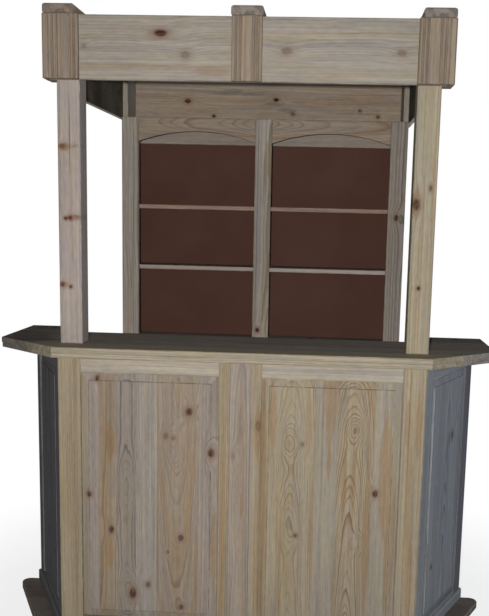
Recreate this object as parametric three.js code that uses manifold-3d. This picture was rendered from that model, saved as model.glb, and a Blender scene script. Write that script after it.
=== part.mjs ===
// Home bar in knotty pine: a panelled counter with two splayed wings, a canopy frame carried on
// two square posts, and a two-bay shelf unit behind it.
// Millimetres, +Z up. The customers' side faces -Y, X = 0 is the plane of symmetry, and depths (Y)
// are counted from the front edge of the counter top until the last lines centre the model.
import * as THREE from 'three';
import { mergeVertices } from 'three/addons/utils/BufferGeometryUtils.js';
import Module from 'manifold-3d';

const wasm = await Module();
wasm.setup();

// Overall sizes
const COUNTER_WIDTH = 1814;
const COUNTER_HEIGHT = 1080;
const OVERALL_DEPTH = 1086;

// Counter top: two layers glued face to face, the lower one set back a little
const TOP_LAYER = 20;
const UNDER_LAYER = 18;
const UNDER_SETBACK = 2;
const TOP_ARRIS = 2;
const CUT_CORNER_WIDTH = 251;
const CUT_CORNER_DEPTH = 205;
const TOP_DEPTH = 400;
const ARM_WIDTH = 215;
const ARM_LENGTH = 153;

// Counter body: framed panels standing on a flat base board
const FRONT_OVERHANG = 35;
const CORNER_OVERHANG = 12;
const WING_SPREAD = 220;
const WING_DEPTH = 432;
const FRAME_THICK = 22;
const CORNER_STILE = 81;
const CORNER_BOARD = 54;
const CENTRE_STILE = 150;
const CENTRE_BOARD = 73;
const WING_STILE = 65;
const TOP_RAIL = 55;
const BOTTOM_RAIL = 55;
const V_JOINT_WIDTH = 3;
const V_JOINT_DEPTH = 2.5;
const GROOVE_SETBACK = 10;
const GROOVE_WIDTH = 7;
const GROOVE_DEPTH = 10;
const PANEL_BEVEL = 27;
const PANEL_STEP = 2;
const FIELD_SETBACK = 2;
const BASE_THICK = 27;
const BASE_PROJECTION = 78;
const BASE_CORNER_RADIUS = 30;
const BASE_ARRIS = 3;
const SKIRTING_HEIGHT = 42;
const SKIRTING_THICK = 10;
const SKIRTING_BEVEL = 4;
const COUNTER_SHELF_TOP = 560;
const COUNTER_SHELF_THICK = 20;
const COUNTER_SHELF_DEPTH = 380;

// Posts
const POST_SIDE = 80;
const POST_ARRIS = 2;
const POST_SETBACK = 96;
const POST_OUTSET = 8;

// Canopy
const CANOPY_RISE = 37;
const FASCIA_HEIGHT = 211;
const FASCIA_THICK = 20;
const PILASTER_WIDTH = 102;
const PILASTER_THICK = 17;
const CORNER_PACKING = 17;
const RETURN_THICK = 21;
const RETURN_DEPTH = 103;
const RETURN_BEVEL = 5;
const FLUTE_WIDTH = 9;
const FLUTE_DEPTH = 4;
const FLUTE_MARGIN = 14;
const FLUTE_PITCH = 15;
const BEARER_WIDTH = 108;
const BEARER_THICK = 32;
const BEARER_ROUND = 9;
const BEARER_INSET = 2;
const SIDE_BOARD_THICK = 20;
const SIDE_BOARD_DROP = 43;

// Back shelf unit
const UNIT_INSET = 42;
const UNIT_HEIGHT = 1949;
const SIDE_PANEL_THICK = 22;
const SIDE_PANEL_DEPTH = 163;
const FACE_FRAME_THICK = 20;
const FACE_STILE = 72;
const FACE_CENTRE_STILE = 70;
const ARCH_RAIL = 100;
const ARCH_RISE = 44;
const SHELF_THICK = 18;
const UPPER_SHELF_TOP = 1582;
const LOWER_SHELF_TOP = 1320;
const WORKTOP_TOP = 1000;
const LOW_SHELF_TOP = 544;
const PLINTH_HEIGHT = 70;
const PLINTH_THICK = 20;
const DIVIDER_THICK = 20;
const REAR_RAIL_HEIGHT = 81;
const REAR_RAIL_THICK = 20;
const REAR_FASCIA_THICK = 20;
const BACK_THICK = 4;

// Clearance of every joint that is cut on a slant or runs in a groove
const JOINT_GAP = 0.3;

// Straight pieces in a rounded corner or flute, and in an arch
const ROUND_STEPS = 6;
const ARCH_STEPS = 20;

// Half widths that follow from the counter's width
const TOP_OUT = COUNTER_WIDTH / 2;
const TOP_EDGE_OUT = TOP_OUT - CUT_CORNER_WIDTH;
const BODY_OUT = TOP_EDGE_OUT - CORNER_OVERHANG;
const POST_OUT = BODY_OUT + POST_OUTSET;
const FASCIA_OUT = POST_OUT + CORNER_PACKING;
const RETURN_OUT = FASCIA_OUT + RETURN_THICK;
const UNIT_OUT = POST_OUT - UNIT_INSET;
const UNIT_IN = UNIT_OUT - SIDE_PANEL_THICK;

// Heights and depths that follow from the sizes above
const BODY_TOP = COUNTER_HEIGHT - TOP_LAYER - UNDER_LAYER;
const CANOPY_BOTTOM = UNIT_HEIGHT + CANOPY_RISE;
const CANOPY_TOP = CANOPY_BOTTOM + FASCIA_HEIGHT;
const BODY_FRONT = FRONT_OVERHANG;
const BODY_BACK = BODY_FRONT + FRAME_THICK;
const BASE_FRONT = BODY_FRONT - BASE_PROJECTION;
const FASCIA_FRONT = POST_SETBACK - FASCIA_THICK;
const PILASTER_FRONT = FASCIA_FRONT - PILASTER_THICK;
const POST_BACK = POST_SETBACK + POST_SIDE;
const UNIT_BACK = BASE_FRONT + OVERALL_DEPTH;
const CASE_BACK = UNIT_BACK - BACK_THICK;
const CASE_FRONT = CASE_BACK - SIDE_PANEL_DEPTH;
const UNIT_FRONT = CASE_FRONT - FACE_FRAME_THICK;

// Plan of the splayed wings: length, direction, and how far a mitre runs back over a thickness
const WING_LENGTH = Math.hypot(WING_SPREAD, WING_DEPTH);
const WING_TURN = Math.atan2(WING_DEPTH, WING_SPREAD);
const mitre = (thickness) => thickness * Math.tan(WING_TURN / 2);

// Solids

/** A closed solid through rings of points: neighbouring rings are walled, the end rings capped. */
function loft(rings) {
  const count = rings[0].length;
  const faces = [];
  const put = (ring, i) => ring * count + (i % count);
  for (let ring = 0; ring + 1 < rings.length; ring += 1) {
    for (let i = 0; i < count; i += 1) {
      faces.push(put(ring, i), put(ring, i + 1), put(ring + 1, i + 1));
      faces.push(put(ring, i), put(ring + 1, i + 1), put(ring + 1, i));
    }
  }
  const cap = (ring, flip) => {
    const flat = flatten(rings[ring]);
    for (const [a, b, c] of THREE.ShapeUtils.triangulateShape(flat, [])) {
      faces.push(put(ring, flip ? c : a), put(ring, b), put(ring, flip ? a : c));
    }
  };
  const outward = THREE.ShapeUtils.area(flatten(rings[0])) > 0;
  cap(0, outward);
  cap(rings.length - 1, !outward);
  const geometry = new THREE.BufferGeometry();
  const points = rings.flat(2);
  geometry.setAttribute('position', new THREE.Float32BufferAttribute(points, 3));
  geometry.setIndex(faces);
  return facingOut(geometry);
}

/** A ring's points in its own plane, dropping the axis along which the ring spans least. */
function flatten(ring) {
  const spans = [0, 1, 2].map((axis) => {
    const along = ring.map((point) => point[axis]);
    return Math.max(...along) - Math.min(...along);
  });
  const dropped = spans.indexOf(Math.min(...spans));
  const [u, v] = [0, 1, 2].filter((axis) => axis !== dropped);
  return ring.map((point) => new THREE.Vector2(point[u], point[v]));
}

/** The same closed surface with every face turned outwards, told by the sign of its volume. */
function facingOut(geometry) {
  const at = geometry.attributes.position;
  const index = Array.from(geometry.index.array);
  const corner = (i) => new THREE.Vector3().fromBufferAttribute(at, index[i]);
  let volume = 0;
  for (let i = 0; i < index.length; i += 3) {
    volume += corner(i).dot(corner(i + 1).cross(corner(i + 2)));
  }
  if (volume < 0) {
    index.reverse();
    geometry.setIndex(index);
  }
  return geometry;
}

/** An outline [u, v] carried straight along one axis: 'x' takes [y, z], 'y' [x, z], 'z' [x, y]. */
function prism(outline, axis, from, to) {
  const place = {
    x: (u, v, w) => [w, u, v],
    y: (u, v, w) => [u, w, v],
    z: (u, v, w) => [u, v, w],
  }[axis];
  return loft([from, to].map((w) => outline.map(([u, v]) => place(u, v, w))));
}

/** A squared board between two corners. */
function board(x0, x1, y0, y1, z0, z1) {
  return prism([[x0, y0], [x1, y0], [x1, y1], [x0, y1]], 'z', z0, z1);
}

/** An outline moved inwards by the same distance on every edge. */
function inset(outline, distance) {
  const turn = Math.sign(THREE.ShapeUtils.area(outline.map(([x, y]) => new THREE.Vector2(x, y))));
  const edges = outline.map(([x, y], i) => {
    const [nextX, nextY] = outline[(i + 1) % outline.length];
    const length = Math.hypot(nextX - x, nextY - y);
    const normal = [(-turn * (nextY - y)) / length, (turn * (nextX - x)) / length];
    return { normal, reach: normal[0] * x + normal[1] * y + distance };
  });
  return outline.map((point, i) => {
    const before = edges[(i + outline.length - 1) % outline.length];
    const after = edges[i];
    const cross = before.normal[0] * after.normal[1] - before.normal[1] * after.normal[0];
    const x = (before.reach * after.normal[1] - after.reach * before.normal[1]) / cross;
    const y = (after.reach * before.normal[0] - before.reach * after.normal[0]) / cross;
    return [x, y];
  });
}

/** A plan outline built up in levels, each an inset and a height: arrises, setbacks and bevels. */
function layered(outline, levels) {
  return loft(levels.map(([distance, z]) => inset(outline, distance).map(([x, y]) => [x, y, z])));
}

/** An outline with chosen corners rounded: radii[i] belongs to point i. */
function rounded(outline, radii) {
  return outline.flatMap((point, i) => {
    if (!radii[i]) return [point];
    const corner = new THREE.Vector2(...point);
    const before = new THREE.Vector2(...outline[(i + outline.length - 1) % outline.length]);
    const after = new THREE.Vector2(...outline[(i + 1) % outline.length]);
    const inDirection = before.sub(corner).normalize();
    const outDirection = after.sub(corner).normalize();
    const half = Math.acos(inDirection.dot(outDirection)) / 2;
    const reach = radii[i] / Math.tan(half);
    const centre = inDirection.clone().add(outDirection).normalize();
    centre.multiplyScalar(radii[i] / Math.sin(half)).add(corner);
    const start = inDirection.multiplyScalar(reach).add(corner).sub(centre);
    const end = outDirection.multiplyScalar(reach).add(corner).sub(centre);
    const sweep = Math.atan2(start.cross(end), start.dot(end));
    return Array.from({ length: ROUND_STEPS + 1 }, (_, step) => {
      const spoke = start.clone().rotateAround(new THREE.Vector2(), (sweep * step) / ROUND_STEPS);
      return [centre.x + spoke.x, centre.y + spoke.y];
    });
  });
}

/** Several touching solids glued into one. */
function joined(...geometries) {
  const solids = geometries.map((geometry) => {
    const bare = mergeVertices(geometry);
    return new wasm.Manifold(new wasm.Mesh({
      numProp: 3,
      vertProperties: new Float32Array(bare.attributes.position.array),
      triVerts: new Uint32Array(bare.index.array),
    }));
  });
  const mesh = solids.reduce((whole, solid) => whole.add(solid)).getMesh();
  const geometry = new THREE.BufferGeometry();
  geometry.setAttribute('position', new THREE.BufferAttribute(mesh.vertProperties, 3));
  geometry.setIndex(new THREE.BufferAttribute(mesh.triVerts, 1));
  return geometry;
}

// Finishes

const pine = (color) => new THREE.MeshStandardMaterial({ color, roughness: 0.75, metalness: 0 });
const framePine = () => pine(0xb9a27c);
const panelPine = () => pine(0xb39b76);
const topPine = () => pine(0xbfa67c);
const canopyPine = () => pine(0xb5a484);
const unitPine = () => pine(0xa8937a);
const hardboard = () => new THREE.MeshStandardMaterial({ color: 0x5a3d33, roughness: 0.6, metalness: 0 });

function node(name, geometry, material) {
  const mesh = new THREE.Mesh(geometry, material);
  mesh.name = name;
  return mesh;
}

const sides = [{ name: 'left', side: -1 }, { name: 'right', side: 1 }];
const mirrored = (outline, side) => outline.map(([x, y]) => [side * x, y]);

// Framed panels: y runs inwards from the face of the frame, z up, x along the frame

/** The groove for panel and tenons in an edge at x, opening towards the panel. */
function grooveOutline(x, towardsPanel) {
  const bottom = x - towardsPanel * GROOVE_DEPTH;
  const near = GROOVE_SETBACK;
  const far = GROOVE_SETBACK + GROOVE_WIDTH;
  return [[x, far], [bottom, far], [bottom, near], [x, near]];
}

/** The V-shaped joint line at x in the face of a stile made of two boards. */
function vJoint(x) {
  return [[x - V_JOINT_WIDTH / 2, 0], [x, V_JOINT_DEPTH], [x + V_JOINT_WIDTH / 2, 0]];
}

/** A rail between two stiles: grooved towards the panel, with a stub tenon in each stile's groove. */
function rail(x0, x1, z0, z1, panelIsBelow) {
  const start = x0 + JOINT_GAP;
  const end = x1 - JOINT_GAP;
  const tongue = GROOVE_DEPTH - JOINT_GAP;
  const near = GROOVE_SETBACK + JOINT_GAP;
  const far = GROOVE_SETBACK + GROOVE_WIDTH - JOINT_GAP;
  const tenoned = [
    [start, 0], [end, 0], [end, near], [x1 + tongue, near], [x1 + tongue, far], [end, far],
    [end, FRAME_THICK], [start, FRAME_THICK], [start, far], [x0 - tongue, far],
    [x0 - tongue, near], [start, near],
  ];
  const shoulder = panelIsBelow ? z0 + GROOVE_DEPTH : z1 - GROOVE_DEPTH;
  const solid = panelIsBelow ? [shoulder, z1] : [z0, shoulder];
  const lips = panelIsBelow ? [z0, shoulder] : [shoulder, z1];
  return joined(
    prism(tenoned, 'z', ...solid),
    board(start, end, 0, GROOVE_SETBACK, ...lips),
    board(start, end, GROOVE_SETBACK + GROOVE_WIDTH, FRAME_THICK, ...lips),
  );
}

/** A raised and fielded panel: a tongue all round, a sloping bevel, a small step and a flat field. */
function raisedPanel(x0, x1, z0, z1) {
  const tongue = GROOVE_DEPTH - JOINT_GAP;
  const outline = [
    [x0 - tongue, z0 - tongue], [x1 + tongue, z0 - tongue],
    [x1 + tongue, z1 + tongue], [x0 - tongue, z1 + tongue],
  ];
  const levels = [
    [0, GROOVE_SETBACK + GROOVE_WIDTH - JOINT_GAP],
    [0, GROOVE_SETBACK + JOINT_GAP],
    [tongue, GROOVE_SETBACK + JOINT_GAP],
    [tongue + PANEL_BEVEL, FIELD_SETBACK + PANEL_STEP],
    [tongue + PANEL_BEVEL, FIELD_SETBACK],
  ];
  return loft(levels.map(([distance, y]) => inset(outline, distance).map(([x, z]) => [x, y, z])));
}

const OPENING_BOTTOM = BASE_THICK + BOTTOM_RAIL;
const OPENING_TOP = BODY_TOP - TOP_RAIL;

/** The rails and the panel that fill one opening of a frame. */
function fillOpening(prefix, suffix, x0, x1) {
  return [
    node(`${prefix}top_rail${suffix}`, rail(x0, x1, OPENING_TOP, BODY_TOP, true), framePine()),
    node(`${prefix}bottom_rail${suffix}`, rail(x0, x1, BASE_THICK, OPENING_BOTTOM, false), framePine()),
    node(`${prefix}panel${suffix}`, raisedPanel(x0, x1, OPENING_BOTTOM, OPENING_TOP), panelPine()),
  ];
}

const uprightOnBase = (outline) => prism(outline, 'z', BASE_THICK, BODY_TOP);

// The straight front: two openings between corner stiles and a wide centre stile

function counterFront() {
  const front = new THREE.Group();
  front.position.y = BODY_FRONT;
  const openingIn = CENTRE_STILE / 2;
  const openingOut = BODY_OUT - CORNER_STILE;

  const centre = [
    [-openingIn, 0], ...vJoint(-CENTRE_BOARD / 2), ...vJoint(CENTRE_BOARD / 2), [openingIn, 0],
    ...grooveOutline(openingIn, 1).reverse(), [openingIn, FRAME_THICK], [-openingIn, FRAME_THICK],
    ...grooveOutline(-openingIn, -1),
  ];
  front.add(node('front_stile_centre', uprightOnBase(centre), framePine()));

  const corner = [
    [openingOut, 0], ...vJoint(BODY_OUT - CORNER_BOARD), [BODY_OUT, 0],
    [BODY_OUT - mitre(FRAME_THICK), FRAME_THICK], [openingOut, FRAME_THICK],
    ...grooveOutline(openingOut, -1),
  ];
  for (const { name, side } of sides) {
    front.add(node(`front_stile_${name}`, uprightOnBase(mirrored(corner, side)), framePine()));
    const [x0, x1] = side > 0 ? [openingIn, openingOut] : [-openingOut, -openingIn];
    front.add(...fillOpening('front_', `_${name}`, x0, x1));
  }

  const foot = BODY_OUT + mitre(SKIRTING_THICK + JOINT_GAP);
  const head = BODY_OUT + mitre(JOINT_GAP);
  front.add(node('skirting_front', skirting(-foot, -head, head, foot), framePine()));
  return front;
}

/** A skirting strip lying against a frame's face, given its outer and inner ends; top edge bevelled. */
function skirting(outerStart, innerStart, innerEnd, outerEnd) {
  const face = -SKIRTING_THICK - JOINT_GAP;
  const share = (SKIRTING_THICK - SKIRTING_BEVEL) / SKIRTING_THICK;
  const ring = (z, depth, part) => [
    [innerStart + (outerStart - innerStart) * part, depth, z],
    [innerEnd + (outerEnd - innerEnd) * part, depth, z],
    [innerEnd, -JOINT_GAP, z],
    [innerStart, -JOINT_GAP, z],
  ];
  return loft([
    ring(BASE_THICK, face, 1),
    ring(BASE_THICK + SKIRTING_HEIGHT - SKIRTING_BEVEL, face, 1),
    ring(BASE_THICK + SKIRTING_HEIGHT, face + SKIRTING_BEVEL, share),
  ]);
}

// The splayed wings: on each, x runs along the wing so that y still points into the counter

function wing({ name, side }) {
  const group = new THREE.Group();
  const atCorner = side > 0;
  group.position.set(
    side * (atCorner ? BODY_OUT : BODY_OUT + WING_SPREAD),
    atCorner ? BODY_FRONT : BODY_FRONT + WING_DEPTH,
    0,
  );
  group.rotation.z = side * WING_TURN;
  const along = (s) => (atCorner ? s : WING_LENGTH - s);
  const run = (outline) => outline.map(([s, y]) => [along(s), y]);

  const rear = WING_LENGTH - WING_STILE;
  const frontStile = [
    [JOINT_GAP, 0], [WING_STILE, 0], ...grooveOutline(WING_STILE, 1).reverse(),
    [WING_STILE, FRAME_THICK], [JOINT_GAP + mitre(FRAME_THICK), FRAME_THICK],
  ];
  const rearStile = [
    [rear, 0], [WING_LENGTH, 0], [WING_LENGTH, FRAME_THICK], [rear, FRAME_THICK],
    ...grooveOutline(rear, -1),
  ];
  const [x0, x1] = [along(WING_STILE), along(rear)].sort((a, b) => a - b);
  const skirtingEnds = [-mitre(SKIRTING_THICK + JOINT_GAP) + JOINT_GAP, JOINT_GAP, WING_LENGTH, WING_LENGTH];
  const [outerStart, innerStart, innerEnd, outerEnd] = skirtingEnds.map(along);
  group.add(
    node(`wing_${name}_front_stile`, uprightOnBase(run(frontStile)), framePine()),
    node(`wing_${name}_rear_stile`, uprightOnBase(run(rearStile)), framePine()),
    ...fillOpening(`wing_${name}_`, '', x0, x1),
    node(`skirting_${name}`, skirting(outerStart, innerStart, innerEnd, outerEnd), framePine()),
  );
  return group;
}

// Base board, shelf inside and the counter top

/** Half width of the body's outer face at a depth, moved out by an offset square to the face. */
const bodyHalfAt = (y, offset) =>
  BODY_OUT + (y - BODY_FRONT) / Math.tan(WING_TURN) + offset / Math.sin(WING_TURN);

function counterBase() {
  const back = BODY_FRONT + WING_DEPTH;
  const frontOut = bodyHalfAt(BASE_FRONT, BASE_PROJECTION);
  const backOut = bodyHalfAt(back, BASE_PROJECTION);
  const outline = [
    [-frontOut, BASE_FRONT], [frontOut, BASE_FRONT], [backOut, back], [-backOut, back],
  ];
  const soft = rounded(outline, outline.map(() => BASE_CORNER_RADIUS));
  const levels = [[0, 0], [0, BASE_THICK - BASE_ARRIS], [BASE_ARRIS, BASE_THICK]];
  return node('counter_base', layered(soft, levels), framePine());
}

function counterShelf() {
  const back = BODY_BACK + COUNTER_SHELF_DEPTH;
  const inside = -FRAME_THICK - JOINT_GAP;
  const frontOut = bodyHalfAt(BODY_BACK, inside);
  const backOut = bodyHalfAt(back, inside);
  const outline = [[-frontOut, BODY_BACK], [frontOut, BODY_BACK], [backOut, back], [-backOut, back]];
  const shelf = prism(outline, 'z', COUNTER_SHELF_TOP - COUNTER_SHELF_THICK, COUNTER_SHELF_TOP);
  return node('counter_shelf', shelf, unitPine());
}

/** A counter-top board in its two layers, with a softened upper edge. */
function topBoard(outline) {
  return layered(outline, [
    [UNDER_SETBACK, BODY_TOP],
    [UNDER_SETBACK, BODY_TOP + UNDER_LAYER],
    [0, BODY_TOP + UNDER_LAYER],
    [0, COUNTER_HEIGHT - TOP_ARRIS],
    [TOP_ARRIS, COUNTER_HEIGHT],
  ]);
}

function counterTop() {
  const frontBoard = [
    [-TOP_EDGE_OUT, 0], [TOP_EDGE_OUT, 0], [TOP_OUT, CUT_CORNER_DEPTH], [TOP_OUT, TOP_DEPTH],
    [-TOP_OUT, TOP_DEPTH], [-TOP_OUT, CUT_CORNER_DEPTH],
  ];
  const armIn = TOP_OUT - ARM_WIDTH;
  const armEnd = TOP_DEPTH + ARM_LENGTH;
  const arm = [[armIn, TOP_DEPTH], [TOP_OUT, TOP_DEPTH], [TOP_OUT, armEnd], [armIn, armEnd]];
  return [
    node('counter_top_front', topBoard(frontBoard), topPine()),
    ...sides.map(({ name, side }) => {
      const solid = topBoard(mirrored(arm, side));
      return node(`counter_top_arm_${name}`, solid, topPine());
    }),
  ];
}

// Posts and canopy

function posts() {
  return sides.map(({ name, side }) => {
    const [x0, x1] = [POST_OUT - POST_SIDE, POST_OUT];
    const [y0, y1] = [POST_SETBACK, POST_BACK];
    const a = POST_ARRIS;
    const outline = [
      [x0 + a, y0], [x1 - a, y0], [x1, y0 + a], [x1, y1 - a],
      [x1 - a, y1], [x0 + a, y1], [x0, y1 - a], [x0, y0 + a],
    ];
    const upright = prism(mirrored(outline, side), 'z', COUNTER_HEIGHT, CANOPY_TOP);
    return node(`post_${name}`, upright, canopyPine());
  });
}

/** Points [u, depth] along a face from u0 to u1 with two round flutes worked beside each edge. */
function flutedFace(u0, u1) {
  const near = [FLUTE_MARGIN, FLUTE_MARGIN + FLUTE_PITCH];
  const centres = [...near.map((step) => u0 + step), ...near.reverse().map((step) => u1 - step)];
  return centres.flatMap((centre) => Array.from({ length: ROUND_STEPS + 1 }, (_, step) => {
    const angle = (Math.PI * step) / ROUND_STEPS;
    return [centre - (FLUTE_WIDTH / 2) * Math.cos(angle), FLUTE_DEPTH * Math.sin(angle)];
  }));
}

/** A fluted strip on the face of the fascia, from x0 to x1. */
function pilaster(name, x0, x1) {
  const face = flutedFace(x0, x1).map(([x, depth]) => [x, PILASTER_FRONT + depth]);
  const outline = [
    [x0, PILASTER_FRONT], ...face, [x1, PILASTER_FRONT], [x1, FASCIA_FRONT], [x0, FASCIA_FRONT],
  ];
  return node(name, prism(outline, 'z', CANOPY_BOTTOM, CANOPY_TOP), canopyPine());
}

/** The fluted return that closes a canopy corner and packs it out from the post. */
function canopyReturn({ name, side }) {
  const back = PILASTER_FRONT + RETURN_DEPTH;
  const face = flutedFace(PILASTER_FRONT, back).map(([y, depth]) => [RETURN_OUT - depth, y]);
  const outline = [
    [FASCIA_OUT, PILASTER_FRONT], [RETURN_OUT - RETURN_BEVEL, PILASTER_FRONT],
    [RETURN_OUT, PILASTER_FRONT + RETURN_BEVEL], ...face, [RETURN_OUT, back], [POST_OUT, back],
    [POST_OUT, POST_SETBACK], [FASCIA_OUT, POST_SETBACK],
  ];
  const solid = prism(mirrored(outline, side), 'z', CANOPY_BOTTOM, CANOPY_TOP);
  return node(`canopy_return_${name}`, solid, canopyPine());
}

/** A flat roof bearer from the front of the canopy to its back, its upper edges rounded. */
function roofBearer(name, x0, x1) {
  const square = [
    [x0, CANOPY_TOP], [x1, CANOPY_TOP], [x1, CANOPY_TOP + BEARER_THICK], [x0, CANOPY_TOP + BEARER_THICK],
  ];
  const outline = rounded(square, [0, 0, BEARER_ROUND, BEARER_ROUND]);
  return node(name, prism(outline, 'y', PILASTER_FRONT, CASE_BACK), canopyPine());
}

function canopy() {
  const fascia = board(-FASCIA_OUT, FASCIA_OUT, FASCIA_FRONT, POST_SETBACK, CANOPY_BOTTOM, CANOPY_TOP);
  const rearFront = CASE_BACK - REAR_FASCIA_THICK;
  const rear = board(-UNIT_IN, UNIT_IN, rearFront, CASE_BACK, UNIT_HEIGHT, CANOPY_TOP);
  const bearerOut = RETURN_OUT - BEARER_INSET;
  const bearerIn = bearerOut - BEARER_WIDTH;
  const pieces = [
    node('canopy_fascia', fascia, canopyPine()),
    node('canopy_rear_fascia', rear, canopyPine()),
    pilaster('pilaster_centre', -PILASTER_WIDTH / 2, PILASTER_WIDTH / 2),
    pilaster('pilaster_left', -FASCIA_OUT, PILASTER_WIDTH - FASCIA_OUT),
    pilaster('pilaster_right', FASCIA_OUT - PILASTER_WIDTH, FASCIA_OUT),
    roofBearer('roof_bearer_centre', -BEARER_WIDTH / 2, BEARER_WIDTH / 2),
    roofBearer('roof_bearer_left', -bearerOut, -bearerIn),
    roofBearer('roof_bearer_right', bearerIn, bearerOut),
  ];
  for (const { name, side } of sides) {
    const outline = [
      [UNIT_OUT, POST_BACK], [UNIT_OUT + SIDE_BOARD_THICK, POST_BACK],
      [UNIT_OUT + SIDE_BOARD_THICK, CASE_BACK], [UNIT_OUT, CASE_BACK],
    ];
    const solid = prism(mirrored(outline, side), 'z', CANOPY_BOTTOM - SIDE_BOARD_DROP, CANOPY_TOP);
    pieces.push(node(`canopy_side_${name}`, solid, canopyPine()), canopyReturn({ name, side }));
  }
  return pieces;
}

// Back shelf unit

/** A top rail between two stiles with its lower edge cut to a shallow circular arch. */
function archedRail(x0, x1) {
  const half = (x1 - x0) / 2;
  const radius = (half * half + ARCH_RISE * ARCH_RISE) / (2 * ARCH_RISE);
  const springing = UNIT_HEIGHT - ARCH_RAIL;
  const centre = springing + ARCH_RISE - radius;
  const sweep = Math.asin(half / radius);
  const arch = Array.from({ length: ARCH_STEPS - 1 }, (_, i) => {
    const angle = sweep * (1 - (2 * (i + 1)) / ARCH_STEPS);
    return [x0 + half - radius * Math.sin(angle), centre + radius * Math.cos(angle)];
  });
  const outline = [[x0, springing], ...arch, [x1, springing], [x1, UNIT_HEIGHT], [x0, UNIT_HEIGHT]];
  return prism(outline, 'y', UNIT_FRONT, CASE_FRONT);
}

function shelfUnit() {
  const stileIn = UNIT_OUT - FACE_STILE;
  const centreHalf = FACE_CENTRE_STILE / 2;
  const dividerHalf = DIVIDER_THICK / 2;
  const topUnder = UNIT_HEIGHT - SHELF_THICK;
  const railFront = CASE_BACK - REAR_RAIL_THICK;
  const railBottom = topUnder - REAR_RAIL_HEIGHT;
  const faceBoard = (x0, x1) => board(x0, x1, UNIT_FRONT, CASE_FRONT, 0, UNIT_HEIGHT);
  const shelfBoard = (x0, x1, top) => board(x0, x1, CASE_FRONT, CASE_BACK, top - SHELF_THICK, top);

  const divider = prism([
    [CASE_FRONT, WORKTOP_TOP], [CASE_BACK, WORKTOP_TOP], [CASE_BACK, railBottom],
    [railFront, railBottom], [railFront, topUnder], [CASE_FRONT, topUnder],
  ], 'x', -dividerHalf, dividerHalf);
  const rearRail = board(-UNIT_IN, UNIT_IN, railFront, CASE_BACK, railBottom, topUnder);
  const plinth = board(-UNIT_IN, UNIT_IN, CASE_FRONT, CASE_FRONT + PLINTH_THICK, 0, PLINTH_HEIGHT);
  const back = board(-UNIT_OUT, UNIT_OUT, CASE_BACK, UNIT_BACK, 0, UNIT_HEIGHT);
  const pieces = [
    node('unit_stile_centre', faceBoard(-centreHalf, centreHalf), unitPine()),
    node('unit_top', shelfBoard(-UNIT_IN, UNIT_IN, UNIT_HEIGHT), unitPine()),
    node('unit_worktop', shelfBoard(-UNIT_IN, UNIT_IN, WORKTOP_TOP), unitPine()),
    node('unit_low_shelf', shelfBoard(-UNIT_IN, UNIT_IN, LOW_SHELF_TOP), unitPine()),
    node('unit_bottom', shelfBoard(-UNIT_IN, UNIT_IN, PLINTH_HEIGHT + SHELF_THICK), unitPine()),
    node('unit_plinth', plinth, unitPine()),
    node('unit_divider', divider, unitPine()),
    node('unit_rear_rail', rearRail, unitPine()),
    node('unit_back', back, hardboard()),
  ];
  for (const { name, side } of sides) {
    const between = (a, b) => [side * a, side * b].sort((p, q) => p - q);
    const panel = between(UNIT_IN, UNIT_OUT);
    const bay = between(dividerHalf, UNIT_IN);
    pieces.push(
      node(`unit_side_${name}`, board(...panel, CASE_FRONT, CASE_BACK, 0, CANOPY_TOP), unitPine()),
      node(`unit_stile_${name}`, faceBoard(...between(stileIn, UNIT_OUT)), unitPine()),
      node(`unit_arch_${name}`, archedRail(...between(centreHalf, stileIn)), unitPine()),
      node(`unit_shelf_upper_${name}`, shelfBoard(...bay, UPPER_SHELF_TOP), unitPine()),
      node(`unit_shelf_lower_${name}`, shelfBoard(...bay, LOWER_SHELF_TOP), unitPine()),
    );
  }
  return pieces;
}

// Assembly, with the origin on the floor under the middle of the whole bar

const bar = new THREE.Group();
bar.add(counterBase(), counterFront(), ...sides.map(wing), counterShelf(), ...counterTop());
bar.add(...posts(), ...canopy(), ...shelfUnit());
bar.position.y = -(BASE_FRONT + UNIT_BACK) / 2;

export default bar;
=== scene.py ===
# %% [markdown]
# # A knotty pine bar with a shelf unit behind it
#
# The shapes of the bar come from its CAD model: sixty boards, each in its true place and size. This
# script gives them their looks. It loads the boards as a fixed frame, sets up a camera, lamps and a pale
# floor, and then works out the pine: growth rings, knots, glued staves and end grain.

import math

import bpy
import numpy as np
from mathutils import Matrix, Vector


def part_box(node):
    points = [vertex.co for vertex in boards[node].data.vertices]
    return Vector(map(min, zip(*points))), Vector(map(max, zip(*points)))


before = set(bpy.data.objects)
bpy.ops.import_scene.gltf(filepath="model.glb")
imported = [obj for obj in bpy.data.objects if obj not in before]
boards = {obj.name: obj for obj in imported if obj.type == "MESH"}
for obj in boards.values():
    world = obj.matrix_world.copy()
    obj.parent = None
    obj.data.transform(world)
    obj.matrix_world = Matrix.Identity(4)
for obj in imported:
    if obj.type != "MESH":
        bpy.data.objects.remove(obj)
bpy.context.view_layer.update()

# %% [markdown]
# ## Camera
#
# A photograph fixes its camera through the lines in it: the long edges of the counter give the tilt, and
# the wings that run back give the distance. The values here are that camera, as a place, an aim and a focal
# length. It was held a little turned, so it has a roll, and its lens is shifted because the picture was
# cropped off centre.

# %% Set the camera
PHOTO_WIDTH, PHOTO_HEIGHT = 489, 616
FOCAL_PIXELS = 869.7
CENTRE_PIXEL = (283.2, 348.1)
CAMERA_PLACE = Vector((0.2974, -3.4234, 1.5490))
CAMERA_AHEAD = Vector((-0.05045, 0.98723, -0.15113)).normalized()
CAMERA_ROLL = math.radians(1.38)
SENSOR = 36.0

scene = bpy.context.scene
scene.view_settings.view_transform = "Standard"

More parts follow.
